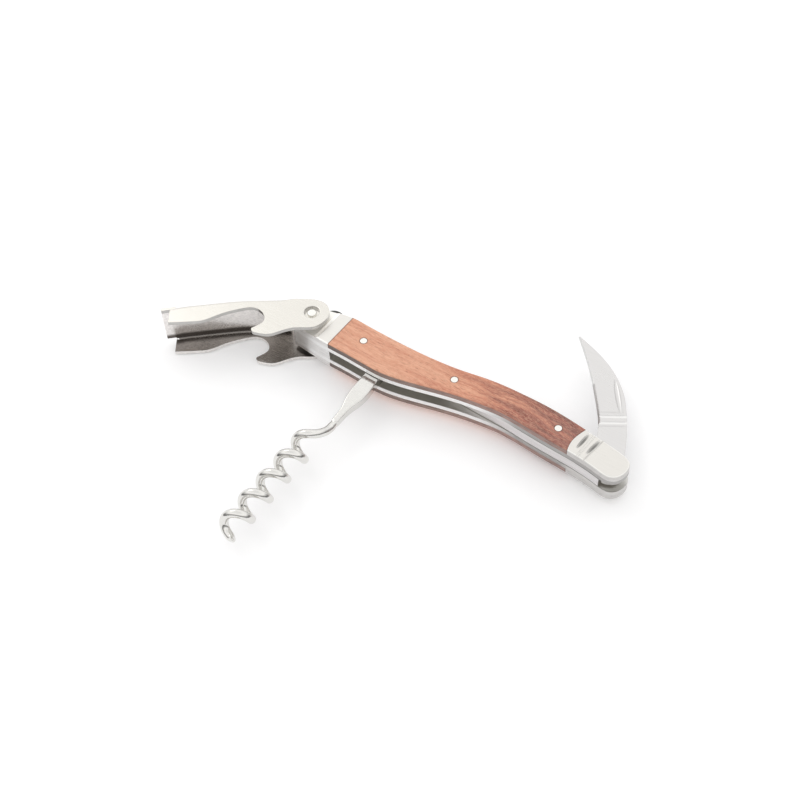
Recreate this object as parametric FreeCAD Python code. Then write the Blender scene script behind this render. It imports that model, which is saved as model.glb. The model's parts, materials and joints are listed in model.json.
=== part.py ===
import FreeCAD, Part
import math
import os
from FreeCAD import Vector, Matrix

# Waiter's corkscrew lying on its side: handle with wood scales, two-arm spring,
# bottle lever, worm and foil knife, all three folded out.
# Millimetres, +Z up.  The handle runs along +X from its nose; "front" is the
# nose end, "rear" the rounded +X end.  The knife opens on the +Y (back) side,
# the worm and lever on the -Y (belly) side.
# Design frame: lever pivot axis at x = y = 0, handle's middle plane at z = 0.
# "upper" parts are at +Z, "lower" parts are their mirror images at -Z.

# ---- thicknesses and fits ----------------------------------------------------
GAP_HALF = 2.0          # half the slot between the liners
LINER_T = 1.6
SCALE_T = 2.1           # wood scales and bolsters
NOSE_HALF = 5.1         # half thickness of the nose inside the lever
HOLE_GAP = 0.012        # radial gap around fixed pins
RUN_GAP = 0.05          # radial gap in the hinges
LEVER_HALF = 8.0        # half the lever's outside width

Z_SCALE = GAP_HALF + LINER_T
Z_TOP = Z_SCALE + SCALE_T

# ---- pins and pivots: (x, y) -------------------------------------------------
FRONT_PIN = (19.86, -0.11)
MIDDLE_PIN = (52.85, 1.07)
REAR_PIN = (89.53, 1.0)
SCALE_PIN_R = 1.15
PIN_PROUD = 0.04        # scale pins stand this far above the wood
PIN_DOME = 0.12
NOSE_PIN = (8.9, -0.6)
NOSE_PIN_Z = 5.0
BOLSTER_PIN = (100.0, 1.8)
BOLSTER_PIN_Z = 4.9
HIDDEN_PIN_R = 0.9
LEVER_PIVOT = (0, 0)
LEVER_RIVET_R = 1.25
WORM_PIVOT = (27.9, -4.2)
WORM_PIN_R = 1.2
KNIFE_PIVOT = (108.5, -1.8)
KNIFE_PIN_R = 1.5
KNIFE_PIN_Z = 5.0

HEEL_R = 5.0            # worm's heel, which the spring also has to clear
BLADE_HALF = 1.05       # half thickness of the knife

# moves the origin to the middle of the footprint at table height
MOVE = Vector(-35.7176, 19.883, LEVER_HALF)


# ---- helpers -----------------------------------------------------------------
def at(point, z=0.0):
    return Vector(point[0], point[1], z)


def curve_through(vectors):
    curve = Part.BSplineCurve()
    curve.interpolate(Points=vectors)
    return curve


def curve_xy(points):
    return curve_through([at(p) for p in points])


def spline(points):
    return curve_xy(points).toShape()


def chain(*points):
    """Straight edges joining the points in turn."""
    return [Part.LineSegment(at(a), at(b)).toShape() for a, b in zip(points, points[1:])]


def tangent_at(curve, u):
    """Tangent vector, which some curves return inside a tuple."""
    tangent = curve.tangent(u)
    return Vector(*tangent[0]) if isinstance(tangent, tuple) else tangent


def closed_polygon(vectors):
    return Part.makePolygon(vectors + [vectors[0]])


def prism(edges, z0, z1):
    face = Part.Face(Part.Wire(edges))
    face.translate(Vector(0, 0, z0))
    return face.extrude(Vector(0, 0, z1 - z0))


def poly_prism(points, z0, z1):
    face = Part.Face(closed_polygon([at(p, z0) for p in points]))
    return face.extrude(Vector(0, 0, z1 - z0))


def cylinder(centre, radius, z0, z1):
    return Part.makeCylinder(radius, z1 - z0, at(centre, z0), Vector(0, 0, 1))


def rod(start, end, radius, z):
    """Level cylinder from one (x, y) to another."""
    along = at(end) - at(start)
    return Part.makeCylinder(radius, along.Length, at(start, z), along)


def ellipsoid(centre, half_axes, degrees):
    matrix = Matrix()
    matrix.scale(*half_axes)
    shape = Part.makeSphere(1.0).transformGeometry(matrix)
    shape.rotate(Vector(0, 0, 0), Vector(0, 0, 1), degrees)
    shape.translate(centre)
    return shape


def mirror_z(shape):
    return shape.mirror(Vector(0, 0, 0), Vector(0, 0, 1))


def largest(shape):
    return max(shape.Solids, key=lambda solid: solid.Volume)


def drill(shape, centre, radius, z0=-20, z1=20):
    return shape.cut(cylinder(centre, radius, z0, z1))


def edges_at_z(shape, z):
    return [e for e in shape.Edges
            if abs(e.BoundBox.ZMin - z) < 1e-6 and abs(e.BoundBox.ZMax - z) < 1e-6]


def try_fillet(shape, radius, edges):
    # Guards against a fillet the kernel can't build: smaller radii are tried
    # in turn, and the edges stay sharp if none works.
    for factor in (1.0, 0.8, 0.6, 0.4):
        try:
            result = shape.makeFillet(radius * factor, edges)
            if result.isValid() and result.Solids and result.Volume > 0.5 * shape.Volume:
                return result
        except Exception:
            pass
    return shape


def cut_if_sound(shape, tool, least_share):
    """Cut, unless the result is invalid or loses more volume than it should."""
    result = shape.cut(tool)
    if result.isValid() and result.Volume > least_share * shape.Volume:
        return result
    return shape


parts = {}


def add_pair(name, upper):
    parts["upper_" + name] = upper
    parts["lower_" + name] = mirror_z(upper)


# ---- handle outline ----------------------------------------------------------
NOSE_X = -4.7           # the nose is squared off here
OUTLINE_X = -9.0        # the outline runs on to here before it is squared off

# (x, y): belly side from the nose to the rounded end, then the back side to the nose
HANDLE_OUTLINE = [
    (OUTLINE_X, -4.5),
    (-3.7, -5.25), (0.0, -5.85), (5.0, -6.5), (10.7, -7.05), (14.0, -7.2), (20.0, -7.6),
    (25.0, -8.05), (30.5, -8.35), (35.0, -8.05), (43.0, -6.65), (51.0, -4.95), (58.0, -3.75),
    (65.5, -2.95), (71.5, -2.68), (77.0, -3.05), (84.0, -3.85), (90.5, -4.5), (95.6, -4.95),
    (100.4, -5.5), (104.5, -6.2), (107.5, -6.9), (109.6, -7.25), (111.6, -6.95),
    (113.2, -5.75), (114.2, -3.85), (114.5, -1.8), (114.15, 0.0), (113.0, 1.35),
    (110.9, 2.2), (107.6, 2.98), (103.3, 3.78), (97.0, 4.88), (89.5, 6.05), (81.7, 6.85),
    (74.3, 7.1), (65.6, 7.05), (59.5, 6.5), (54.2, 5.75), (46.6, 5.12), (38.8, 4.95),
    (31.0, 5.15), (23.6, 5.55), (17.0, 6.05), (11.3, 6.4), (7.5, 5.95), (3.0, 5.2),
    (0.0, 4.85), (-3.7, 4.4),
    (OUTLINE_X, 3.9),
]
# nose corners: centre y, y range of the corner block, radius
NOSE_CORNERS = [(-4.2, -12.0, -4.2, 1.05), (3.4, 3.4, 12.0, 1.0)]
SAMPLES = 144
PIECES = 12

handle_curve = curve_xy(HANDLE_OUTLINE)


def inset_wire(inset, z):
    """Handle outline moved inwards, as a chain of spline pieces that keep each face simple."""
    first, last = handle_curve.FirstParameter, handle_curve.LastParameter
    points = []
    for k in range(SAMPLES + 1):
        u = first + (last - first) * k / SAMPLES
        p = handle_curve.value(u)
        tangent = tangent_at(handle_curve, u)
        points.append(Vector(p.x - tangent.y * inset, p.y + tangent.x * inset, z))
    points[0].x = OUTLINE_X
    points[-1].x = OUTLINE_X
    curve = curve_through(points)
    knots = curve.getKnots()
    step = SAMPLES // PIECES
    edges = []
    for k in range(PIECES):
        piece = curve.copy()
        piece.segment(knots[k * step], knots[min((k + 1) * step, len(knots) - 1)])
        edges.append(piece.toShape())
    edges.append(Part.LineSegment(points[-1], points[0]).toShape())
    return Part.Wire(edges)


def nose_trim(shape):
    """Square off the nose and round its two corners."""
    shape = shape.cut(Part.makeBox(20, 60, 40, Vector(NOSE_X - 20, -30, -20)))
    for centre_y, y0, y1, radius in NOSE_CORNERS:
        centre_x = NOSE_X + radius
        block = Part.makeBox(20, y1 - y0, 40, Vector(centre_x - 20, y0, -20))
        shape = shape.cut(block.cut(cylinder((centre_x, centre_y), radius, -30, 30)))
    return shape


def slab(z0, z1):
    face = Part.Face(inset_wire(0.0, z0))
    return largest(nose_trim(face.extrude(Vector(0, 0, z1 - z0))))


# ---- outer layer: bolsters and wood scales -----------------------------------
CROWN_W = 0.5           # elliptical rounding of the outer edges
CROWN_H = 0.4
CROWN_STEPS = 6
REGION_TOP = 9

# joints between bolsters and wood (x, y): front one nearly straight, rear one bowed
FRONT_JOINT = [(11.75, 9.0), (11.49, 5.06), (10.7, -6.54), (10.45, -11.0)]
REAR_JOINT = [(97.75, 9.0), (97.0, 5.0), (96.0, 2.2), (95.4, -0.2), (95.3, -2.4),
              (95.75, -5.0), (96.6, -9.0)]
# nose side of the raised front band (x, y), and the ramp down to the thinner nose
BAND_EDGE = [(8.0, 9.0), (7.86, 5.13), (6.83, -6.55), (6.5, -11.0)]
RAMP_ENDS = [(7.95, 9), (6.45, -11)]
RAMP_RUN = 1.9
RAMP_TOOL_W = 2.95
RAMP_Z = 5.9            # height of the ramp at the band
RAMP_TOOL_TOP = 6.4

# grooves across the rear bolster: (x, y, turn in degrees)
GROOVES = [(98.15, 0.6, -6.6), (101.85, 0.2, -11.0)]
GROOVE_AXES = (0.62, 3.6, 0.5)
GROOVE_LIFT = 0.06
# fine lines: one where the smooth rounded end begins, two between the grooves
# (start, end, radius)
FINE_LINES = [
    ((103.75, 6.0), (101.2, -7.5), 0.22),
    ((99.95, 6.2), (98.7, -7.0), 0.16),
    ((100.75, 6.2), (99.4, -7.0), 0.16),
]
LINE_LIFT = 0.02


def crowned_layer():
    sections = [inset_wire(0.0, Z_SCALE)]
    for k in range(CROWN_STEPS + 1):
        angle = math.radians(90.0 * k / CROWN_STEPS)
        sections.append(inset_wire(CROWN_W * (1 - math.cos(angle)),
                                   Z_TOP - CROWN_H + CROWN_H * math.sin(angle)))
    return largest(nose_trim(Part.makeLoft(sections, True, True)))


def ramp_section(x, y):
    return closed_polygon([
        Vector(x, y, RAMP_Z), Vector(x - RAMP_RUN, y, NOSE_HALF),
        Vector(x - RAMP_TOOL_W, y, NOSE_HALF), Vector(x - RAMP_TOOL_W, y, RAMP_TOOL_TOP),
        Vector(x, y, RAMP_TOOL_TOP)])


def make_outer_layer():
    nose_edge = [(x - RAMP_RUN, y) for x, y in BAND_EDGE]
    nose_cut = poly_prism([(-9, 9)] + nose_edge + [(-9, -11)], NOSE_HALF, 9)
    ramp = Part.makeLoft([ramp_section(x, y) for x, y in RAMP_ENDS], True, True)
    outer = crowned_layer().cut(nose_cut).cut(ramp)

    front_region = poly_prism([(-9, 9)] + FRONT_JOINT + [(-9, -11)], 0, REGION_TOP)
    rear_region = prism(
        [spline(REAR_JOINT)] + chain(REAR_JOINT[-1], (120, -9), (120, 9), REAR_JOINT[0]),
        0, REGION_TOP)
    front = largest(outer.common(front_region))
    rear = largest(outer.common(rear_region))
    scale = largest(outer.cut(front_region).cut(rear_region))

    for x, y, degrees in GROOVES:
        rear = rear.cut(ellipsoid(Vector(x, y, Z_TOP + GROOVE_LIFT), GROOVE_AXES, degrees))
    for start, end, radius in FINE_LINES:
        rear = rear.cut(rod(start, end, radius, Z_TOP + LINE_LIFT))
    rear = largest(rear)

    for pin in (FRONT_PIN, MIDDLE_PIN, REAR_PIN):
        scale = drill(scale, pin, SCALE_PIN_R + HOLE_GAP)
    front = drill(front, NOSE_PIN, HIDDEN_PIN_R + HOLE_GAP, 0, NOSE_PIN_Z)
    front = drill(front, LEVER_PIVOT, LEVER_RIVET_R + RUN_GAP)
    rear = drill(rear, BOLSTER_PIN, HIDDEN_PIN_R + HOLE_GAP, 0, BOLSTER_PIN_Z)
    rear = drill(rear, KNIFE_PIVOT, KNIFE_PIN_R + HOLE_GAP, 0, KNIFE_PIN_Z)
    add_pair("front_bolster", largest(front))
    add_pair("scale", largest(scale))
    add_pair("rear_bolster", largest(rear))


# ---- liners ------------------------------------------------------------------
def make_liners():
    liner = slab(GAP_HALF, Z_SCALE)
    for centre, radius in (
            (FRONT_PIN, SCALE_PIN_R + HOLE_GAP),
            (MIDDLE_PIN, SCALE_PIN_R + HOLE_GAP),
            (REAR_PIN, SCALE_PIN_R + HOLE_GAP),
            (NOSE_PIN, HIDDEN_PIN_R + HOLE_GAP),
            (BOLSTER_PIN, HIDDEN_PIN_R + HOLE_GAP),
            (LEVER_PIVOT, LEVER_RIVET_R + RUN_GAP),
            (WORM_PIVOT, WORM_PIN_R + HOLE_GAP),
            (KNIFE_PIVOT, KNIFE_PIN_R + HOLE_GAP)):
        liner = drill(liner, centre, radius)
    add_pair("liner", largest(liner))


# ---- pins --------------------------------------------------------------------
def scale_pin(centre, z0, domed_below):
    z1 = Z_TOP + PIN_PROUD
    pin = cylinder(centre, SCALE_PIN_R, z0, z1)
    rims = edges_at_z(pin, z1)
    if domed_below:
        rims += edges_at_z(pin, z0)
    return try_fillet(pin, PIN_DOME, rims)


def make_pins():
    parts["front_scale_pin"] = scale_pin(FRONT_PIN, -Z_TOP - PIN_PROUD, True)
    parts["middle_scale_pin"] = scale_pin(MIDDLE_PIN, -Z_TOP - PIN_PROUD, True)
    # the slot stays open here, so the rear pin is two halves
    add_pair("rear_scale_pin", scale_pin(REAR_PIN, GAP_HALF, False))
    parts["nose_pin"] = cylinder(NOSE_PIN, HIDDEN_PIN_R, -NOSE_PIN_Z, NOSE_PIN_Z)
    add_pair("bolster_pin", cylinder(BOLSTER_PIN, HIDDEN_PIN_R, GAP_HALF, BOLSTER_PIN_Z))
    parts["worm_pivot_pin"] = cylinder(WORM_PIVOT, WORM_PIN_R, -Z_SCALE, Z_SCALE)
    parts["knife_pivot_pin"] = cylinder(KNIFE_PIVOT, KNIFE_PIN_R, -KNIFE_PIN_Z, KNIFE_PIN_Z)


# ---- nose spacer: fills the slot from the nose to the cavity -----------------
SPACER_REGION = [(-9, 12), (12.6, 12), (12.6, 2.0), (11.0, -1.0), (10.9, -12), (-9, -12)]
# low hump on the back edge (x, y)
HUMP = [(0.6, 4.6), (1.2, 7.3), (3.0, 8.55), (5.4, 8.6), (7.6, 7.4), (10.2, 6.25), (12.0, 6.0)]
HUMP_HALF = GAP_HALF - 0.15


def make_nose_spacer():
    spacer = slab(-GAP_HALF, GAP_HALF).common(poly_prism(SPACER_REGION, -3, 3))
    hump = prism([spline(HUMP)] + chain(HUMP[-1], (12.0, 4.0), (0.6, 4.0), HUMP[0]),
                 -HUMP_HALF, HUMP_HALF)
    spacer = spacer.fuse(hump).removeSplitter()
    spacer = drill(spacer, LEVER_PIVOT, LEVER_RIVET_R + RUN_GAP)
    spacer = drill(spacer, NOSE_PIN, HIDDEN_PIN_R + HOLE_GAP)
    parts["nose_spacer"] = largest(spacer)


# ---- spring with two arms on the middle pin ----------------------------------
SPRING_HALF = GAP_HALF - 0.25
HEEL_FLAT_Y = WORM_PIVOT[1] + HEEL_R + 0.22     # flat that the worm's heel turns under

# (x, y): back side towards +X, then belly side towards -X
SPRING_BACK = [
    (14.5, 6.05), (17.0, 5.95), (23.6, 5.47), (31.0, 5.07), (38.8, 4.87), (44.0, 4.85),
    (48.0, 4.6), (51.3, 4.1), (54.0, 3.3), (56.2, 2.1), (59.5, 1.75), (64.0, 1.75),
    (69.0, 1.65), (74.0, 1.2), (79.0, 0.55), (84.0, -0.25), (90.0, -1.35), (95.0, -2.55),
    (99.0, -3.75), (102.0, -4.65), (104.6, -5.4), (107.5, -6.25),
]
SPRING_BELLY = [
    (107.5, -6.9), (104.6, -6.24), (102.0, -5.78), (98.0, -5.16), (92.0, -4.58),
    (84.0, -3.83), (77.5, -3.05), (72.0, -2.4), (66.0, -1.95), (60.0, -1.5), (56.5, -1.15),
    (52.5, -0.75), (49.0, 0.0), (45.5, 1.2), (42.0, 2.2), (38.5, 2.3), (35.0, 1.7),
    (32.5, HEEL_FLAT_Y + 0.1), (30.0, HEEL_FLAT_Y), (24.0, HEEL_FLAT_Y),
    (21.0, 1.6), (18.2, 2.4), (14.5, 3.4),
]


def make_spring():
    spring = prism(
        [spline(SPRING_BACK)] + chain(SPRING_BACK[-1], SPRING_BELLY[0])
        + [spline(SPRING_BELLY)] + chain(SPRING_BELLY[-1], SPRING_BACK[0]),
        -SPRING_HALF, SPRING_HALF)
    spring = largest(spring.common(slab(-3, 3)))
    spring = drill(spring, MIDDLE_PIN, SCALE_PIN_R + HOLE_GAP)
    parts["center_spring"] = largest(spring)


# ---- lever: one bent sheet ---------------------------------------------------
# Drawn along +X with the channel's web on its -Y edge, then turned to LEVER_DIR.
LEVER_DIR = 210.0
SHEET = 1.3             # side plate thickness
WEB_T = 1.0             # thickness of the web joining the plates
WEB_START = 8.5         # the web begins this far from the pivot
WEB_HALF = LEVER_HALF - SHEET
PLATE_END_X = 46.2
INNER_CORNER_R = 0.8

# side plate outline, (x, y), in order around the plate
OPEN_SIDE = [
    (40.5, 4.61), (37.6, 4.38), (35.4, 4.05), (32.3, 2.68), (29.2, 0.98), (25.6, -0.43),
    (22.0, -1.5), (19.5, -1.75), (17.4, -1.0), (15.8, 0.6), (15.1, 2.36), (15.25, 4.0),
    (16.7, 5.6), (18.35, 6.7),
]
HOOK = [(18.35, 6.7), (18.9, 7.3), (18.7, 8.05), (17.85, 8.72)]
PIVOT_END = [
    (17.85, 8.72), (15.5, 9.3), (13.4, 9.5), (10.3, 8.5), (7.1, 7.15), (4.6, 6.6), (1.1, 6.6),
    (-1.8, 6.0), (-4.1, 4.1), (-5.5, 1.8), (-5.6, -0.6), (-4.6, -3.1), (-2.2, -4.8), (1.0, -5.45),
]
WEB_SIDE = [
    (1.0, -5.45), (6.0, -5.58), (12.0, -5.52), (18.0, -5.35), (24.0, -5.05), (30.0, -4.28),
    (36.0, -3.38), (41.0, -2.58), (PLATE_END_X, -1.47),
]
# outer bend between web and plates: (x, radius)
BEND_R = 1.35
BEND_STATIONS = [(6.0, 0.12), (7.6, 0.5), (9.2, 0.95), (11.2, 1.25)] + [
    (x, BEND_R) for x in (14.0, 20.0, 26.0, 32.0, 38.0, 43.0, 49.0)]
BEND_END_SLOPE = 0.17   # slope of the bend beyond the plates
BEND_MARGIN = 1.5       # how far the bend cutter reaches outside the sheet

TAB_X = 49.2
TAB = [(44.5, -1.83), (PLATE_END_X, -1.47), (TAB_X, -0.93), (TAB_X - 0.19, 0.05), (44.3, -0.85)]
TAB_Z0 = -5.9
TAB_Z1 = LEVER_HALF - 0.1

DIMPLE_R = 2.45
DIMPLE_Z = 6.9          # floor of the dimples around the rivet
DIMPLE_RIM_R = 0.3
CUP_Z = NOSE_HALF + 0.05            # inner face of the pressed cup
CUP_OVERLAP = 0.4                   # how far the cup reaches into the plate

web_curve = curve_xy(WEB_SIDE)


def web_y(x):
    """Height of the web's outer face at x, by bisection."""
    low, high = web_curve.FirstParameter, web_curve.LastParameter
    for _ in range(50):
        middle = 0.5 * (low + high)
        if web_curve.value(middle).x < x:
            low = middle
        else:
            high = middle
    return web_curve.value(0.5 * (low + high)).y


def bend_section(x, radius):
    if x <= PLATE_END_X:
        y = web_y(x)
    else:
        y = web_y(PLATE_END_X) + BEND_END_SLOPE * (x - PLATE_END_X)
    z = LEVER_HALF
    turn = math.radians(45)
    start = Vector(x, y, z - radius)
    middle = Vector(x, y + radius * (1 - math.cos(turn)), z - radius + radius * math.sin(turn))
    end = Vector(x, y + radius, z)
    corners = [end, Vector(x, y + radius, z + BEND_MARGIN),
               Vector(x, y - BEND_MARGIN, z + BEND_MARGIN),
               Vector(x, y - BEND_MARGIN, z - radius), start]
    return Part.Wire([Part.Arc(start, middle, end).toShape()]
                     + [Part.LineSegment(a, b).toShape() for a, b in zip(corners, corners[1:])])


def channel_inside():
    """The hollow between the plates, with rounded corners along the web."""
    side = ([(-9.0, WEB_SIDE[0][1] + WEB_T)]
            + [(x, y + WEB_T) for x, y in WEB_SIDE[1:-1]] + [(60.0, 2.1)])
    inside = prism([spline(side)] + chain(side[-1], (60, 20), (-9, 20), side[0]),
                   -WEB_HALF, WEB_HALF)
    corners = []
    for edge in inside.Edges:
        zs = [vertex.Z for vertex in edge.Vertexes]
        on_face = len(zs) == 2 and all(abs(abs(z) - WEB_HALF) < 1e-6 for z in zs)
        if on_face and zs[0] * zs[1] > 0:
            middle = edge.valueAt(0.5 * (edge.FirstParameter + edge.LastParameter))
            if middle.y < -2.0 and 60 < edge.Length < 75:
                corners.append(edge)
    return try_fillet(inside, INNER_CORNER_R, corners)


def add_dimples(lever):
    """Dimples pressed inward at the pivot, down to the nose."""
    cup_top = WEB_HALF + CUP_OVERLAP
    cup = Part.makeCone(DIMPLE_R + 1.25, DIMPLE_R + 0.75, cup_top - CUP_Z,
                        Vector(0, 0, cup_top), Vector(0, 0, -1))
    recess = cylinder(LEVER_PIVOT, DIMPLE_R, DIMPLE_Z, LEVER_HALF + 1)
    lever = lever.fuse(cup).cut(recess)
    lever = lever.fuse(mirror_z(cup)).cut(mirror_z(recess))
    lever = largest(drill(lever, LEVER_PIVOT, LEVER_RIVET_R + HOLE_GAP))
    rims = [e for e in lever.Edges
            if isinstance(e.Curve, Part.Circle)
            and abs(e.Curve.Radius - DIMPLE_R) < 1e-3
            and abs(abs(e.Curve.Center.z) - LEVER_HALF) < 1e-3]
    return try_fillet(lever, DIMPLE_RIM_R, rims)


def make_lever():
    lever = prism(
        chain(WEB_SIDE[-1], (46.0, 4.95), OPEN_SIDE[0])
        + [spline(side) for side in (OPEN_SIDE, HOOK, PIVOT_END, WEB_SIDE)],
        -LEVER_HALF, LEVER_HALF)
    bend = Part.makeLoft([bend_section(x, radius) for x, radius in BEND_STATIONS], True, False)
    lever = largest(lever.cut(bend).cut(mirror_z(bend)))
    lever = lever.cut(channel_inside())
    # the web is cut away around the pivot so that it clears the nose
    lever = lever.cut(poly_prism(
        [(-9, -12), (WEB_START - 1.5, -12), (WEB_START, -3.0), (WEB_START, 12), (-9, 12)],
        -WEB_HALF, WEB_HALF))
    # square tab: the web runs on past the plates
    lever = lever.fuse(poly_prism(TAB, TAB_Z0, TAB_Z1))
    # small relief at the end of the lower bend
    lever = largest(lever.cut(Part.makeBox(0.9, 1.6, 1.6, Vector(45.35, -1.9, -LEVER_HALF))))
    lever = add_dimples(lever)
    lever.rotate(Vector(0, 0, 0), Vector(0, 0, 1), LEVER_DIR)
    parts["lever"] = lever


# ---- rivet through both dimples and the nose ---------------------------------
RIVET_HALF = 7.6
RIVET_HEAD_R = 1.5
RIVET_HEAD_TOP = 7.75
RIVET_ROUNDING = 0.35


def make_lever_rivet():
    rivet = cylinder(LEVER_PIVOT, LEVER_RIVET_R, -RIVET_HALF, RIVET_HALF)
    head = cylinder(LEVER_PIVOT, RIVET_HEAD_R, DIMPLE_Z + 0.01, RIVET_HEAD_TOP)
    head = try_fillet(head, RIVET_ROUNDING, edges_at_z(head, RIVET_HEAD_TOP))
    rivet = rivet.fuse(head).fuse(mirror_z(head))
    parts["lever_rivet"] = largest(rivet.removeSplitter())


# ---- worm: flat tang drawn into wire, one forged piece -----------------------
HEEL_HALF = 1.72
TANG_HALF = 1.68
TANG_END_HALF = 1.32    # half thickness of the tang at TAPER_Y1
TAPER_Y0 = -12
TAPER_Y1 = -33
TANG_ROUNDING = 0.35
TANG_X0 = 25.2
TANG_X1 = 30.75
# tang sides (x, y): -X side away from the pivot, +X side back towards it
TANG_SIDE_0 = [(TANG_X0, -5.0), (TANG_X0, -12.0), (25.22, -18.4), (25.7, -21.0),
               (26.25, -23.2), (26.42, -26.0), (26.44, -28.8)]
TANG_SIDE_1 = [(28.62, -29.0), (28.75, -27.2), (28.98, -24.0), (29.5, -21.4), (30.2, -19.0),
               (30.68, -16.4), (30.72, -12.0), (TANG_X1, -5.0)]

WIRE_R = 1.44
NECK_R = 0.95           # wire radius where it starts inside the tang
NECK_LEN = 4.0
TIP_R = 0.5             # rounding of the worm's point
TIP_LEN = 4.5           # length of the ground point
HELIX_R = 3.16
HELIX_PITCH = 8.70
HELIX_START = (24.21, -36.14)
HELIX_SLOPE = 0.0424    # sideways drift of the helix axis per mm
HELIX_TURNS = 4.98
HELIX_ENTRY = 1.68      # angle in radians where the lead-in meets the helix
HELIX_STEP = math.radians(22.5)
LEAD_IN = [(27.5, -26.6, 0.0), (27.5, -29.4, 0.05), (27.5, -31.7, 0.35),
           (27.05, -34.4, 1.4), (25.8, -36.75, 2.5)]     # (x, y, z)


def worm_heel():
    x, y = WORM_PIVOT
    return cylinder(WORM_PIVOT, HEEL_R, -HEEL_HALF, HEEL_HALF).common(poly_prism([
        (x - 3.5, y + 8), (x + 8, y + 8), (x + 8, y + 1.4), (x + 4.2, y + 0.8),
        (TANG_X1, y - 1.6), (TANG_X1, y - 3.9), (TANG_X0, y - 3.9), (TANG_X0, y - 1.6),
        (x - 3.5, y + 0.2)], -3, 3))


def taper_section(x):
    return closed_polygon([Vector(x, TAPER_Y0, TANG_HALF), Vector(x, TAPER_Y1, TANG_END_HALF),
                           Vector(x, TAPER_Y1, 4), Vector(x, TAPER_Y0, 4)])


def worm_tang():
    tang = prism(
        [spline(TANG_SIDE_0)] + chain(TANG_SIDE_0[-1], TANG_SIDE_1[0])
        + [spline(TANG_SIDE_1)] + chain(TANG_SIDE_1[-1], TANG_SIDE_0[0]),
        -TANG_HALF, TANG_HALF)
    wedge = Part.makeLoft([taper_section(20), taper_section(36)], True, True)
    tang = tang.cut(wedge).cut(mirror_z(wedge))
    long_edges = []
    for edge in tang.Edges:
        box = edge.BoundBox
        if box.YLength > 4 and box.ZLength < 0.6 and abs(0.5 * (box.ZMin + box.ZMax)) > 1.0:
            long_edges.append(edge)
    return try_fillet(tang, TANG_ROUNDING, long_edges)


def helix_point(angle):
    drop = HELIX_PITCH * angle / (2 * math.pi)
    y = HELIX_START[1] - drop
    x = HELIX_START[0] + HELIX_R * math.cos(angle) + HELIX_SLOPE * (y - HELIX_START[1])
    return Vector(x, y, HELIX_R * math.sin(angle))


def worm_curve():
    end_angle = HELIX_TURNS * 2 * math.pi
    points = [Vector(*p) for p in LEAD_IN]
    angle = HELIX_ENTRY
    while angle < end_angle - 0.2:
        points.append(helix_point(angle))
        angle += HELIX_STEP
    points.append(helix_point(end_angle))
    return curve_through(points)


def wire_piece(curve, stations):
    """Sweep between the first and last of the (parameter, radius) stations."""
    path = curve.copy()
    path.segment(stations[0][0], stations[-1][0])
    sweep = Part.BRepOffsetAPI.MakePipeShell(Part.Wire(path.toShape()))
    sweep.setFrenetMode(False)
    for u, radius in stations:
        direction = tangent_at(curve, u)
        direction.normalize()
        circle = Part.Circle(curve.value(u), direction, radius)
        sweep.add(Part.Wire(circle.toShape()), False, False)
        if stations[0][1] == stations[-1][1]:
            break       # constant section: one profile is enough
    sweep.build()
    sweep.makeSolid()
    shape = sweep.shape()
    return shape if shape.ShapeType == "Solid" else Part.Solid(shape)


def make_worm():
    curve = worm_curve()
    start, end = curve.FirstParameter, curve.LastParameter
    neck_end = curve.parameterAtDistance(NECK_LEN, start)
    tip_start = curve.parameterAtDistance(curve.length() - TIP_LEN, start)
    neck = wire_piece(curve, [(start, NECK_R), (neck_end, WIRE_R)])
    body = wire_piece(curve, [(neck_end, WIRE_R), (tip_start, WIRE_R)])
    tip = wire_piece(curve, [(tip_start, WIRE_R), (end, TIP_R)])
    ball = Part.makeSphere(TIP_R, curve.value(end))
    worm = worm_heel().fuse([worm_tang(), neck, body, tip, ball]).removeSplitter()
    worm = drill(worm, WORM_PIVOT, WORM_PIN_R + RUN_GAP)
    parts["worm"] = largest(worm)


# ---- knife blade -------------------------------------------------------------
TANG_R = 3.9
BLADE_DIR = 113.0       # direction of the blade's root, degrees

# (x, y): cutting edge from the handle to the point, then spine back to the handle
BLADE_EDGE = [
    (99.57, 7.56), (98.31, 10.34), (97.06, 13.0), (94.13, 17.6), (90.9, 22.1), (87.6, 26.6),
    (84.0, 31.1), (80.0, 35.6), (75.7, 40.2),
]
BLADE_ROOT = (102.2, 1.6)
BLADE_SPINE = [
    (75.7, 40.2), (80.74, 38.35), (85.2, 36.5), (89.08, 34.5), (92.84, 32.0), (96.03, 29.3),
    (98.91, 26.3), (101.86, 22.2), (104.57, 17.5), (107.13, 12.4), (109.4, 7.0),
]
BEVEL_W = 0.32
BEVEL_OUT = 0.2         # how far the bevel cutter reaches beyond the edge
BEVEL_OUT_Z = -0.25     # height of the cutter's plane there
BEVEL_TOP = 2.2
BEVEL_SECTIONS = 9

SERR_PITCH = 0.62
SERR_DEPTH = 0.42
SERR_START = 1.9        # distances along the sharpened edge
SERR_END = 17.6
SERR_LEAN = 0.28        # lean of the cutter towards the spine per mm of height
SERR_LEAN_AT = 9.0      # the lean is square to the edge here
SERR_BELOW = 1.3        # cutter's reach below the middle plane
SERR_HEIGHT = 3.3

NICK_ENDS = ((94.1, 29.9), (101.8, 18.9))
NICK_AXES = (6.9, 0.9, 0.62)
NICK_LIFT = 0.1
# two pairs of shallow flutes across the blade near its root: (start, end)
FLUTES = [
    ((95.75, 15.98), (102.41, 19.72)), ((96.4, 14.8), (102.95, 18.7)),
    ((97.46, 12.73), (104.35, 16.61)), ((98.3, 11.4), (104.96, 15.15)),
]
FLUTE_R = 0.35
FLUTE_LIFT = 0.24

sharp_curve = curve_xy(BLADE_EDGE[1:])      # the sharpened part of the edge


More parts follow.
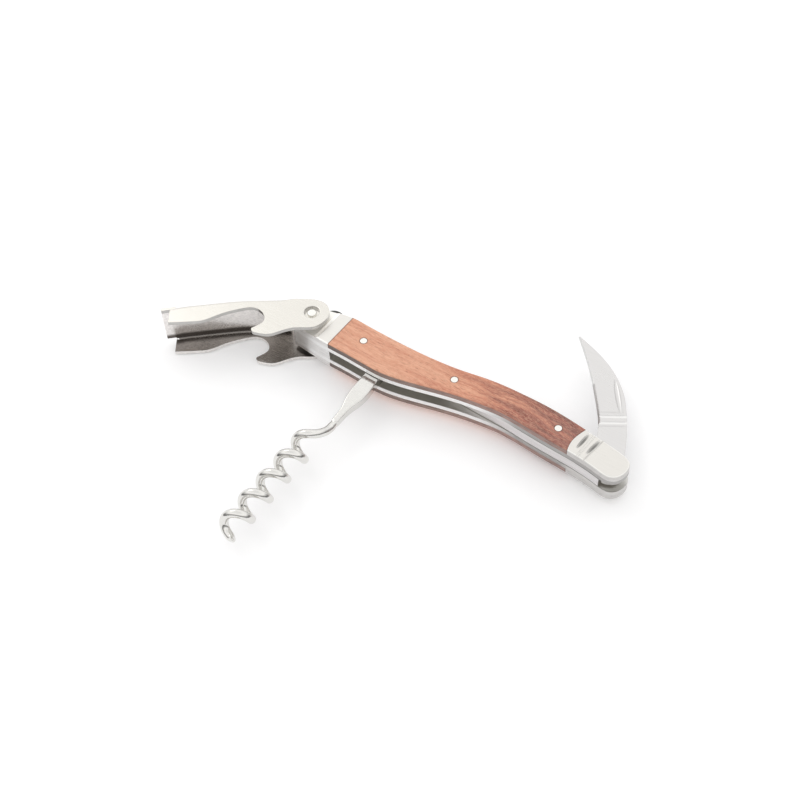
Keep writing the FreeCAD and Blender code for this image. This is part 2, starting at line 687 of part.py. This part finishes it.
def edge_frame(u):
    """Point on the sharpened edge and the level normal towards the spine."""
    tangent = tangent_at(sharp_curve, u)
    normal = Vector(tangent.y, -tangent.x, 0)
    normal.normalize()
    return sharp_curve.value(u), normal


def edge_at(length):
    return edge_frame(sharp_curve.parameterAtDistance(length, sharp_curve.FirstParameter))


def tang_point(turn):
    angle = math.radians(BLADE_DIR + turn)
    return (KNIFE_PIVOT[0] + TANG_R * math.cos(angle), KNIFE_PIVOT[1] + TANG_R * math.sin(angle))


def bevel_cutter(side):
    first, last = sharp_curve.FirstParameter, sharp_curve.LastParameter
    sections = []
    for k in range(BEVEL_SECTIONS):
        p, normal = edge_frame(first + (last - first) * k / (BEVEL_SECTIONS - 1))
        outer = p - normal * BEVEL_OUT
        inner = p + normal * BEVEL_W
        sections.append(closed_polygon([
            at(outer, side * BEVEL_OUT_Z), at(inner, side * BLADE_HALF),
            at(inner, side * BEVEL_TOP), at(outer, side * BEVEL_TOP)]))
    return Part.makeLoft(sections, True, False)


def serration_cutter():
    """One saw-toothed cutter leaning towards the spine as it rises."""
    teeth = int((SERR_END - SERR_START) / SERR_PITCH)
    saw = []
    for k in range(2 * teeth + 1):
        p, normal = edge_at(SERR_START + 0.5 * SERR_PITCH * k)
        saw.append(p + normal * (SERR_DEPTH if k % 2 else -0.06))
    for length in (SERR_START + SERR_PITCH * teeth, SERR_START):
        p, normal = edge_at(length)
        saw.append(p - normal * 1.2)
    rise = edge_at(SERR_LEAN_AT)[1] * SERR_LEAN + Vector(0, 0, 1)
    base = closed_polygon([p - rise * SERR_BELOW for p in saw])
    return Part.Face(base).extrude(rise * SERR_HEIGHT)


def make_knife_blade():
    edge_foot, spine_foot, tang_end = tang_point(90), tang_point(-90), tang_point(180)
    blade = prism([
        spline([edge_foot, BLADE_ROOT] + BLADE_EDGE),
        spline(BLADE_SPINE + [spine_foot]),
        Part.Arc(at(spine_foot), at(tang_end), at(edge_foot)).toShape()],
        -BLADE_HALF, BLADE_HALF)
    for side in (1, -1):
        blade = cut_if_sound(blade, bevel_cutter(side), 0.6)
    blade = largest(cut_if_sound(blade, serration_cutter(), 0.9))

    # long nail nick near the spine on the upper face
    start, end = at(NICK_ENDS[0]), at(NICK_ENDS[1])
    degrees = math.degrees(math.atan2(end.y - start.y, end.x - start.x))
    middle = at((start + end) * 0.5, BLADE_HALF + NICK_LIFT)
    blade = blade.cut(ellipsoid(middle, NICK_AXES, degrees))
    for start, end in FLUTES:
        for side in (1, -1):
            blade = blade.cut(rod(start, end, FLUTE_R, side * (BLADE_HALF + FLUTE_LIFT)))
    blade = drill(blade, KNIFE_PIVOT, KNIFE_PIN_R + RUN_GAP)
    parts["knife_blade"] = largest(blade)


# ---- thrust washers either side of the blade ---------------------------------
WASHER_R = 2.6
WASHER_GAP = 0.04


def make_knife_washers():
    washer = cylinder(KNIFE_PIVOT, WASHER_R, BLADE_HALF + WASHER_GAP, GAP_HALF)
    add_pair("knife_washer", drill(washer, KNIFE_PIVOT, KNIFE_PIN_R + HOLE_GAP))


# ---- build and write ---------------------------------------------------------
make_outer_layer()
make_liners()
make_pins()
make_nose_spacer()
make_spring()
make_lever()
make_lever_rivet()
make_worm()
make_knife_blade()
make_knife_washers()

os.makedirs("parts", exist_ok=True)
for name, shape in parts.items():
    shape.translate(MOVE)
    shape.exportStep("parts/%s.step" % name)
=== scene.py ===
"""Folding pocket corkscrew: wood-sided steel handle with bolsters, lever, worm and blade.

The handle lies along X, with the lever end towards -X and the knife end towards +X.
Its thickness is along Z, and the lever's fold axis is parallel to Z.
The pieces come ready made; this script gives them materials and sets up a studio.
Scene lengths are metres. Shader coordinates and names ending in MM are millimetres.
"""
import bpy, math, json
from mathutils import Matrix, Vector

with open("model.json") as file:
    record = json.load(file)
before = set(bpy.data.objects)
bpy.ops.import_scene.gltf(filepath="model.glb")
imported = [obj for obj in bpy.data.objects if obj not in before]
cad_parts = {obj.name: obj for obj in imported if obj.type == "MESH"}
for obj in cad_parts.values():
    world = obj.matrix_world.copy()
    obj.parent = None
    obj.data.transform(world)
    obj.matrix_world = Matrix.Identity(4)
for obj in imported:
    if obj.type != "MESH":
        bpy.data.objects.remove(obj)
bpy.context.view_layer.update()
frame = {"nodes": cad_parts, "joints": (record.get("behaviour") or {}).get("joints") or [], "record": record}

pieces = frame["nodes"]

MM = 0.001
MID_Z_MM = 8.0  # middle plane of the handle
joint_places = {joint["name"]: joint["pos_m"] for joint in frame["joints"]}
pivot = Vector(joint_places["lever_fold"])
pivot.z = MID_Z_MM * MM
PIVOT_X_MM, PIVOT_Y_MM = pivot.x * 1000, pivot.y * 1000


# ------------------------------------------------------------------ shader building
class Shader:
    """A material's or world's node tree: an output fed by one source node."""

    def __init__(self, owner, output="OutputMaterial", source="BsdfPrincipled"):
        self.owner = owner
        owner.use_nodes = True
        self.tree = owner.node_tree
        self.tree.nodes.clear()
        out = self.node(output)
        self.source = self.node(source)
        self.feed(out.inputs[0], self.source.outputs[0])

    def feed(self, socket, value):
        """Link another node's output to the socket, or set a plain value."""
        if isinstance(value, bpy.types.NodeSocket):
            self.tree.links.new(value, socket)
            return
        if socket.type == "RGBA" and len(value) == 3:
            value = (*value, 1)
        socket.default_value = value

    def set_source(self, inputs):
        for key, value in inputs.items():
            self.feed(self.source.inputs[key], value)

    def node(self, kind, inputs=None, **settings):
        node = self.tree.nodes.new("ShaderNode" + kind)
        for key, value in settings.items():
            setattr(node, key, value)
        for key, value in (inputs or {}).items():
            self.feed(node.inputs[key], value)
        return node

    def scaled(self, vector, scale, turn=0.0, shift=(0, 0, 0)):
        """Scale, turn about Z (radians) and shift a coordinate."""
        return self.node("Mapping", {"Vector": vector, "Scale": scale,
                                     "Rotation": (0, 0, turn), "Location": shift}).outputs[0]

    def coords_mm(self):
        return self.scaled(self.node("TexCoord").outputs["Object"], (1000, 1000, 1000))

    def split(self, vector):
        return self.node("SeparateXYZ", {0: vector}).outputs

    def noise(self, vector, scale=1.0, detail=3.0, roughness=0.5, distortion=0.0):
        return self.node("TexNoise", {"Vector": vector, "Scale": scale, "Detail": detail,
                                      "Roughness": roughness,
                                      "Distortion": distortion}).outputs["Fac"]

    def math(self, operation, *values):
        return self.node("Math", dict(enumerate(values)), operation=operation).outputs[0]

    def add(self, first, second):
        return self.math("ADD", first, second)

    def minus(self, first, second):
        return self.math("SUBTRACT", first, second)

    def product(self, first, *others):
        for other in others:
            first = self.math("MULTIPLY", first, other)
        return first

    def above(self, value, limit):
        return self.math("GREATER_THAN", value, limit)

    def below(self, value, limit):
        return self.math("LESS_THAN", value, limit)

    def vector_math(self, operation, first, second):
        return self.node("VectorMath", {0: first, 1: second}, operation=operation).outputs

    def dot(self, vector, direction):
        return self.vector_math("DOT_PRODUCT", vector, direction)["Value"]

    def remap(self, value, start, end, low, high):
        """Carry start..end onto low..high, held level outside."""
        return self.node("MapRange", {"Value": value, "From Min": start, "From Max": end,
                                      "To Min": low, "To Max": high}).outputs["Result"]

    def rise(self, value, start, end, top=1.0):
        return self.remap(value, start, end, 0.0, top)

    def fall(self, value, start, end, top=1.0):
        return self.remap(value, start, end, top, 0.0)

    def ramp(self, factor, stops):
        node = self.node("ValToRGB", {0: factor})
        elements = node.color_ramp.elements
        while len(elements) < len(stops):
            elements.new(0.5)
        for element, (position, color) in zip(elements, stops):
            element.position = position
            element.color = (*color, 1)
        return node.outputs["Color"]

    def mix(self, factor, first, second, blend="MIX"):
        return self.node("Mix", {0: factor, 6: first, 7: second},
                         data_type="RGBA", blend_type=blend).outputs[2]

    def steepness(self):
        """0 on upright faces, 1 on faces that lie flat."""
        normal = self.split(self.node("NewGeometry").outputs["Normal"])
        return self.math("ABSOLUTE", normal[2])

    def walls(self, start=0.35, end=0.75):
        """1 on upright faces, 0 on faces that lie flat."""
        return self.fall(self.steepness(), start, end)

    def flats(self):
        return self.minus(1.0, self.walls())

    def bump(self, height, strength, distance):
        """Surface relief over slightly rounded edges."""
        rounded = self.node("Bevel", {"Radius": 0.00014}, samples=4).outputs[0]
        return self.node("Bump", {"Normal": rounded, "Strength": strength,
                                  "Distance": distance, "Height": height}).outputs["Normal"]


def new_shader(name):
    return Shader(bpy.data.materials.new(name))


def shade(color, factor):
    return tuple(min(1, channel * factor) for channel in color)


def grey(value):
    return (value,) * 3


def srgb(*channels):
    """8-bit sRGB channels to linear colour."""
    levels = [channel / 255.0 for channel in channels]
    return tuple(v / 12.92 if v <= 0.04045 else ((v + 0.055) / 1.055) ** 2.4 for v in levels)


# ------------------------------------------------------------------ steel
LEVER_COLOR = (0.755, 0.735, 0.69)
WEB_NORMAL = (0.5, -0.866, 0.0)  # faces the inside of the lever's bent sheet
WEB_REACH_MM = 1.2               # the web lies behind this offset from the pivot
FLUTE_NORMAL = (0.490, -0.872, 0.0)
FLUTE_OFFSETS_MM = (34.75, 37.1)  # from the pivot along FLUTE_NORMAL


def pivot_offset(direction):
    """Distance in mm of the pivot along a horizontal direction."""
    return direction[0] * PIVOT_X_MM + direction[1] * PIVOT_Y_MM


def worm_root_shade(t, coords, color):
    """Painted shade: darker metal colour where the worm enters the handle."""
    y = t.split(coords)[1]
    darker = t.rise(y, PIVOT_Y_MM - 9.5, PIVOT_Y_MM - 4.5, top=0.85)
    return t.mix(darker, color, (0.22, 0.215, 0.21))


def flute_highlights(t, coords, color):
    """Painted highlights on the flats beside the blade's cross flutes."""
    along = t.dot(coords, FLUTE_NORMAL)
    for offset in FLUTE_OFFSETS_MM:
        away = t.math("ABSOLUTE", t.minus(along, pivot_offset(FLUTE_NORMAL) + offset))
        flute_glint = t.product(t.fall(away, 0.2, 0.6, top=0.5), t.flats())
        color = t.mix(flute_glint, color, (0.98, 0.98, 0.97))
    return color


def rim_highlight(t, coords, color):
    """Painted highlight along the edge rounding between the flat and the side."""
    steepness = t.steepness()
    rim_glint = t.product(t.rise(steepness, 0.30, 0.42), t.fall(steepness, 0.95, 0.985), 0.9)
    return t.mix(rim_glint, color, (0.97, 0.96, 0.93))


def groove_shade(t, coords, color):
    """Painted shade on the floors of the spindle grooves at the knife end."""
    floor_z, top_z, start_x = 13.25, 13.66, 50.0
    x, _, z = t.split(coords)
    darker = t.product(t.fall(z, floor_z, top_z), t.above(x, start_x),
                     t.above(z, floor_z - 0.1), t.flats())
    return t.mix(darker, color, (0.20, 0.195, 0.185))


def sheet_inside_with_corner_shade(t, coords, color):
    """Darker mottled tone on the inside of the lever's bent sheet, with painted shade in its inside corner.
    """
    inner_plate_tone = (0.285, 0.265, 0.25)
    z = t.split(coords)[2]
    normal = t.node("TexCoord").outputs["Normal"]
    # upward face of the lower plate
    plate = t.product(t.below(z, 1.6), t.above(t.split(normal)[2], 0.5))
    mottle = t.noise(t.scaled(coords, (0.7, 0.7, 0.7)), detail=5, roughness=0.75)
    mottled = t.mix(t.rise(mottle, 0.3, 0.7), shade(inner_plate_tone, 0.88), shade(inner_plate_tone, 1.1))
    color = t.mix(plate, color, mottled)
    # the outside of the bend and the web are polished like the plates
    facing = t.dot(normal, WEB_NORMAL)
    color = t.mix(t.below(facing, -0.3), color, LEVER_COLOR)
    # painted shade: dark band in the inside corner between the web and the lower plate
    web_limit = pivot_offset(WEB_NORMAL) + WEB_REACH_MM
    corner_shade = t.product(t.fall(z, 3.2, 4.2), t.above(z, 1.25), t.walls(0.55, 0.95),
                       t.above(facing, 0.5), t.below(t.dot(coords, WEB_NORMAL), web_limit))
    return t.mix(corner_shade, color, (0.13, 0.115, 0.105))


def wall_color(t, coords, wall, line_scale, far_wall, top_edge):
    """Upright faces, cut across: their own tone, with cross lines."""
    lines = t.noise(t.scaled(coords, line_scale), detail=4, roughness=0.7)
    color = t.mix(t.rise(lines, 0.32, 0.68), shade(wall, 0.82), shade(wall, 1.12))
    if far_wall:
        # darker towards the knife end
        x, _, z = t.split(coords)
        darker = far_wall["color"]
        far_wall_tone = t.mix(t.rise(lines, 0.32, 0.68), shade(darker, 0.8), shade(darker, 1.15))
        color = t.mix(t.rise(x, *far_wall["x_range"]), color, far_wall_tone)
        if "tail_color" in far_wall:
            # below the middle plane it is bright again beside the rear bolster
            tail = t.product(t.rise(x, *far_wall["tail_x_range"]), t.below(z, MID_Z_MM))
            color = t.mix(tail, color, far_wall["tail_color"])
    if top_edge:
        # cut edge of the upper plate
        color = t.mix(t.above(t.split(coords)[2], 14.55), color, top_edge)
    return color


def steel(name, color, roughness, line_scale, contrast, bump, line_turn=0.0, scratch=0.0,
          blotch=0.0, wall=None, wall_lines=(0.5, 0.5, 7.0), far_wall=None, top_edge=None,
          marks=(), painted_slot_light=None):
    """Ground steel: streaks along one direction, scratches and slow stain variation.

    line_scale is noise detail per mm, lowest along the streaks; line_turn is in degrees.
    marks are functions that tint particular places.
    """
    t = new_shader(name)
    coords = t.coords_mm()
    turn = math.radians(line_turn)
    slow = t.noise(coords, scale=0.11, detail=2)
    long_streak = t.noise(t.scaled(coords, line_scale, turn), detail=5, roughness=0.65)
    short_scale = (line_scale[0] * 4, line_scale[1] * 2.7, line_scale[2] * 2.7)
    short_streak = t.noise(t.scaled(coords, short_scale, turn + 0.03, shift=(7, 3, 1)),
                           detail=3, roughness=0.6)
    streak = t.add(t.product(long_streak, 0.62), t.product(short_streak, 0.38))
    fine = t.noise(t.scaled(coords, (9, 9, 9)), detail=2)

    tone = t.ramp(t.rise(streak, 0.3, 0.7),
                  [(0.0, shade(color, 1 - contrast)), (1.0, shade(color, 1 + contrast * 0.55))])
    if wall:
        cut = wall_color(t, coords, wall, wall_lines, far_wall, top_edge)
        tone = t.mix(t.walls(), tone, cut)
    for mark in marks:
        tone = mark(t, coords, tone)

    rough = t.add(t.remap(streak, 0.3, 0.7, low=roughness - 0.05, high=roughness + 0.07),
                  t.remap(slow, 0.3, 0.7, low=-0.03, high=0.04))
    height = t.add(t.product(streak, 1.0), t.product(fine, 0.12))
    if scratch:
        stretched = t.scaled(coords, (0.35, 1.6, 1.6), turn + 0.6)
        cells = t.node("TexVoronoi", {"Scale": 0.55, "Vector": stretched},
                       feature="DISTANCE_TO_EDGE")
        cut = t.fall(cells.outputs["Distance"], 0.0, 0.012)
        rough = t.add(rough, t.product(cut, scratch))
        height = t.minus(height, t.product(cut, scratch * 3.0))
    if blotch:
        patches = t.noise(t.scaled(coords, (2.6, 2.6, 2.6)), detail=4, roughness=0.7)
        rough = t.add(rough, t.remap(patches, 0.35, 0.65, low=-blotch, high=blotch))
        height = t.add(height, t.product(patches, 0.5))
    if painted_slot_light:
        # painted light: a faint glow stands in for light reaching into the narrow slot; it is no lamp
        x, _, z = t.split(coords)
        normal = t.split(t.node("NewGeometry").outputs["Normal"])
        low_z, high_z = painted_slot_light["z_range"]
        slot_light_mask = t.product(t.above(z, low_z), t.below(z, high_z),
                         t.below(x, painted_slot_light["max_x"]), t.above(normal[2], 0.2))
        t.set_source({"Emission Color": painted_slot_light["color"], "Emission Strength": slot_light_mask})
    t.set_source({"Base Color": tone, "Metallic": 1.0, "Roughness": rough,
                  "Normal": t.bump(height, strength=bump, distance=0.0002)})
    return t.owner


# ------------------------------------------------------------------ wood
# place along the handle (0 lever end, 1 knife end), light grain, dark grain
GRAIN_COLORS = [
    (0.0, srgb(234, 178, 148), srgb(208, 142, 112)),
    (0.35, srgb(228, 172, 142), srgb(204, 134, 106)),
    (0.6, srgb(222, 158, 128), srgb(182, 108, 84)),
    (0.78, srgb(190, 124, 104), srgb(120, 62, 52)),
    (1.0, srgb(164, 106, 98), srgb(88, 46, 44)),
]
# place along the handle, painted shade colour of the upright wood edge
EDGE_SHADE_COLORS = [(0.0, srgb(112, 98, 92)), (0.4, srgb(156, 132, 122)),
               (0.7, srgb(178, 144, 134)), (1.0, srgb(168, 140, 132))]
# Joint lines, in mm from the pivot
FRONT_X, FRONT_SLOPE = 11.146, 0.0681  # straight joint at the front bolster
REAR_X, REAR_BOW = 95.0, 3.0           # bowed joint at the rear bolster
BOW_HALF_WIDTH = 9.0
# place across the handle (0 to 1 in +Y), share of REAR_BOW
BOW = [(0.0, 0.533), (0.222, 0.25), (0.367, 0.1), (0.489, 0.133),
       (0.622, 0.333), (0.778, 0.667), (1.0, 0.917)]
PINS = ((19.86, -0.11), (52.85, 1.07), (89.53, 1.0))


def glue_lines(t, x, y):
    """Strength of the dark lines where the wood meets bolsters and pins."""
    x, y = t.minus(x, PIVOT_X_MM), t.minus(y, PIVOT_Y_MM)
    front = t.minus(t.minus(x, FRONT_X), t.product(y, FRONT_SLOPE))
    line = t.fall(front, 0.10, 0.36, top=0.85)
    bow = t.ramp(t.rise(y, -BOW_HALF_WIDTH, BOW_HALF_WIDTH),
                 [(place, grey(share)) for place, share in BOW])
    rear = t.minus(t.add(t.product(bow, REAR_BOW), REAR_X), x)
    line = t.math("MAXIMUM", line, t.fall(rear, 0.08, 0.34, top=0.65))
    plan = t.node("CombineXYZ", {0: x, 1: y}).outputs[0]
    for pin in PINS:
        distance = t.vector_math("DISTANCE", plan, (*pin, 0.0))["Value"]
        line = t.math("MAXIMUM", line, t.fall(distance, 1.25, 1.55, top=0.62))
    return line


def rosewood():
    t = new_shader("rosewood")
    coords = t.coords_mm()
    x, y, _ = t.split(coords)
    # slow wander of the grain, in mm across Y and Z
    wander = t.noise(t.scaled(coords, (0.035, 0.09, 0.09)), detail=2)
    sway = t.node("CombineXYZ", {1: t.product(t.minus(wander, 0.5), 7.0),
                                 2: t.product(t.minus(wander, 0.5), 4.0)}).outputs[0]
    grain = t.scaled(t.vector_math("ADD", coords, sway)[0], (1, 1, 1), math.radians(3.0))
    bands = t.noise(t.scaled(grain, (0.028, 0.40, 0.40)),
                    detail=4, roughness=0.6, distortion=0.6)
    fibre = t.noise(t.scaled(grain, (0.17, 1.7, 1.7)),
                    detail=6, roughness=0.68, distortion=1.3)
    fine = t.noise(t.scaled(grain, (0.8, 4.6, 4.6)), detail=3, roughness=0.6, distortion=0.5)

    # salmon orange at the lever end, dark red-brown at the knife end
    along = t.rise(t.add(x, t.product(t.minus(bands, 0.5), 60.0)), -26.0, 62.0)
    light = t.ramp(along, [(place, pale) for place, pale, _ in GRAIN_COLORS])
    dark = t.ramp(along, [(place, deep) for place, _, deep in GRAIN_COLORS])
    figure = t.add(t.product(t.rise(bands, 0.38, 0.64), 0.5),
                   t.product(t.rise(fibre, 0.36, 0.66), 0.5))
    color = t.mix(figure, light, dark)
    red = t.noise(t.scaled(grain, (0.03, 0.8, 0.8), shift=(11, 5, 2)), detail=3)
    color = t.mix(t.rise(red, 0.50, 0.70, top=0.42), color, srgb(172, 88, 68))
    # pores: short dark dashes with the grain
    dashes = t.noise(t.scaled(grain, (0.42, 6.5, 6.5), shift=(3, 9, 4)),
                     detail=1.5, roughness=0.4)
    pores = t.rise(dashes, 0.60, 0.70)
    color = t.mix(t.product(pores, 0.42), color, srgb(92, 44, 32))
    color = t.mix(t.rise(fine, 0.42, 0.64, top=0.30), color, srgb(246, 200, 168))

    # painted shade: the upright edges of the wood get a darker, greyer tone
    edge_shade = t.ramp(along, EDGE_SHADE_COLORS)
    saw = t.noise(t.scaled(coords, (0.25, 0.25, 3.0)), detail=4, roughness=0.7)
    edge_shade = t.mix(t.rise(saw, 0.4, 0.66, top=0.6), edge_shade, srgb(66, 42, 36))
    color = t.mix(t.walls(0.3, 0.8), color, edge_shade)
    color = t.mix(glue_lines(t, x, y), color, srgb(84, 52, 42))

    height = t.minus(t.product(fibre, 0.35), t.product(pores, 0.9))
    t.set_source({
        "Base Color": color,
        "Roughness": t.add(t.remap(fibre, 0.3, 0.7, low=0.40, high=0.54),
                           t.product(pores, 0.2)),
        "Normal": t.bump(height, strength=0.35, distance=0.00012),
        "Coat Weight": 0.12,
        "Coat Roughness": 0.22,
        "Specular IOR Level": 0.45,
    })
    return t.owner


# ------------------------------------------------------------------ materials by slot
materials = {
    "wood": rosewood(),
    "bolster_steel": steel(
        "satin_bolster", color=(0.765, 0.745, 0.71), roughness=0.33,
        line_scale=(0.10, 3.2, 3.2), contrast=0.05, bump=0.05, blotch=0.03,
        wall=(0.80, 0.785, 0.77),
        far_wall={"color": (0.62, 0.605, 0.59), "x_range": (25.0, 45.0)},
        marks=(rim_highlight, groove_shade),
        # painted light on the shaded nose top under the lever plate
        painted_slot_light={"z_range": (12.9, 13.62), "max_x": -20.0, "color": (0.16, 0.157, 0.15)}),
    "liner_steel": steel(
        "ground_liner", color=(0.62, 0.615, 0.60), roughness=0.32,
        line_scale=(0.07, 3.5, 3.5), contrast=0.08, bump=0.06, wall=(0.97, 0.96, 0.95),
        far_wall={"color": (0.42, 0.41, 0.40), "x_range": (28.0, 42.0),
                  "tail_color": (0.64, 0.625, 0.61), "tail_x_range": (58.0, 61.0)},
        # painted light on the lower liner's inner face inside the slot
        painted_slot_light={"z_range": (5.9, 6.1), "max_x": 200.0, "color": (0.062, 0.056, 0.046)}),
    "spacer_steel": steel(
        # painted shade: near-black flat faces darken the spacer's hump at the nose's back edge
        "ground_spacer_painted_dark", color=(0.07, 0.068, 0.065), roughness=0.34,
        line_scale=(0.07, 4.5, 4.5), contrast=0.10, bump=0.08, wall=(0.82, 0.81, 0.80)),
    "spring_steel": steel(
        "ground_spring", color=(0.50, 0.49, 0.48), roughness=0.30,
        line_scale=(0.06, 4.0, 4.0), contrast=0.09, bump=0.07,
        wall=(0.74, 0.72, 0.72), wall_lines=(0.06, 0.3, 4.0)),
    "lever_steel": steel(
        "polished_lever", color=LEVER_COLOR, roughness=0.24, line_turn=30,
        line_scale=(0.08, 2.6, 2.6), contrast=0.03, bump=0.018, scratch=0.05, blotch=0.012,
        wall=(0.86, 0.83, 0.81), wall_lines=(1.2, 1.2, 1.5), top_edge=(0.50, 0.49, 0.475),
        marks=(sheet_inside_with_corner_shade,)),
    "pin_steel": steel(
        "polished_pin", color=(0.88, 0.87, 0.83), roughness=0.22,
        line_scale=(1.2, 1.6, 1.6), contrast=0.03, bump=0.02),
    "worm_steel": steel(
        "polished_worm", color=(0.76, 0.75, 0.725), roughness=0.13, line_turn=90,
        line_scale=(0.5, 2.0, 2.0), contrast=0.06, bump=0.04, blotch=0.03,
        marks=(worm_root_shade,)),
    "blade_steel": steel(
        "ground_blade", color=(0.71, 0.70, 0.695), roughness=0.30, line_turn=-23,
        line_scale=(0.12, 5.0, 5.0), contrast=0.06, bump=0.06, wall=(0.68, 0.68, 0.67),
        marks=(flute_highlights,)),
    "washer_steel": steel(
        "washer_steel", color=(0.30, 0.29, 0.27), roughness=0.40,
        line_scale=(1.0, 1.2, 1.2), contrast=0.1, bump=0.05),
}
materials["rivet_steel"] = materials["pin_steel"]

slots = {part["node"]: part["material_slot"] for part in frame["record"]["subparts"]}
for name, piece in pieces.items():
    piece.data.materials.clear()
    piece.data.materials.append(materials[slots[name]])

# the worm is one forging: its edges and the step from tang to wire are soft
forge = pieces["worm"].modifiers.new("forge", "REMESH")
forge.mode = "VOXEL"
forge.voxel_size = 0.00016
forge.use_smooth_shade = True
flow = pieces["worm"].modifiers.new("flow", "SMOOTH")
flow.factor = 0.5
flow.iterations = 14

# ------------------------------------------------------------------ studio
scene = bpy.context.scene


def add_object(name, data):
    added = bpy.data.objects.new(name, data)
    scene.collection.objects.link(added)
    return added


def add_floor(half_side=1.2, z=-0.0004):
    t = new_shader("studio_floor")
    t.set_source({"Base Color": (0.93, 0.93, 0.935), "Roughness": 0.7,
                  "Specular IOR Level": 0.2,
                  "Emission Color": (0.97, 0.97, 1.0), "Emission Strength": 0.13})
    mesh = bpy.data.meshes.new("studio_floor")
    corners = [(-1, -1), (1, -1), (1, 1), (-1, 1)]
    mesh.from_pydata([(x * half_side, y * half_side, z) for x, y in corners],
                     [], [(0, 1, 2, 3)])
    floor = add_object("studio_floor", mesh)
    mesh.materials.append(t.owner)


def add_key_light():
    place, target = Vector((-0.75, 0.25, 0.85)), Vector((0.0, 0.0, 0.01))
    light = bpy.data.lights.new("key", "AREA")
    light.shape = "RECTANGLE"
    light.size = light.size_y = 0.5
    light.energy = 0.7
    light.color = (1.0, 0.99, 0.97)
    key = add_object("key", light)
    key.location = place
    key.rotation_euler = (target - place).to_track_quat("-Z", "Y").to_euler()


def add_world():
    # height of the view direction, brightness; slightly warm
    sky = [(0.16, 0.16), (0.32, 0.45), (0.52, 0.95), (0.70, 1.0), (0.86, 0.92)]
    stops = [(height, (v, v * 0.995, v * 0.985)) for height, v in sky]
    stops = [(0.0, grey(0.06)), *stops, (1.0, grey(0.82))]
    world = bpy.data.worlds.new("studio")
    scene.world = world
    t = Shader(world, "OutputWorld", "Background")
    direction = t.node("TexCoord").outputs["Generated"]
    gradient = t.ramp(t.split(direction)[2], stops)
    # a white card stands on the -X, +Y side, beyond the piece from the camera
    card = t.rise(t.dot(direction, (-0.6, 0.8, 0.0)), 0.0, 0.5, top=0.88)
    t.set_source({"Color": t.mix(1.0, gradient, card, blend="LIGHTEN"), "Strength": 1.18})


def add_camera():
    place_mm = (206.39366508, -246.55402265, 369.3800407531509)  # from the pivot
    right = (0.843400757800849, 0.5359687602205888, -0.03758523391650676)
    up = (-0.4034393581969136, 0.6779456334146969, 0.6145131425702851)
    back = (0.35484059237721943, -0.5031174874734033, 0.788010753606722)
    lens = bpy.data.cameras.new("camera")
    camera = add_object("camera", lens)
    lens.sensor_width = 36.0
    lens.lens = 67.5
    lens.clip_start = 0.01
    place = [offset * MM + origin for offset, origin in zip(place_mm, pivot)]
    camera.matrix_world = Matrix((*zip(right, up, back, place), (0, 0, 0, 1)))
    scene.camera = camera


add_floor()
add_key_light()
add_world()
add_camera()
scene.view_settings.view_transform = "Standard"
scene.view_settings.look = "None"
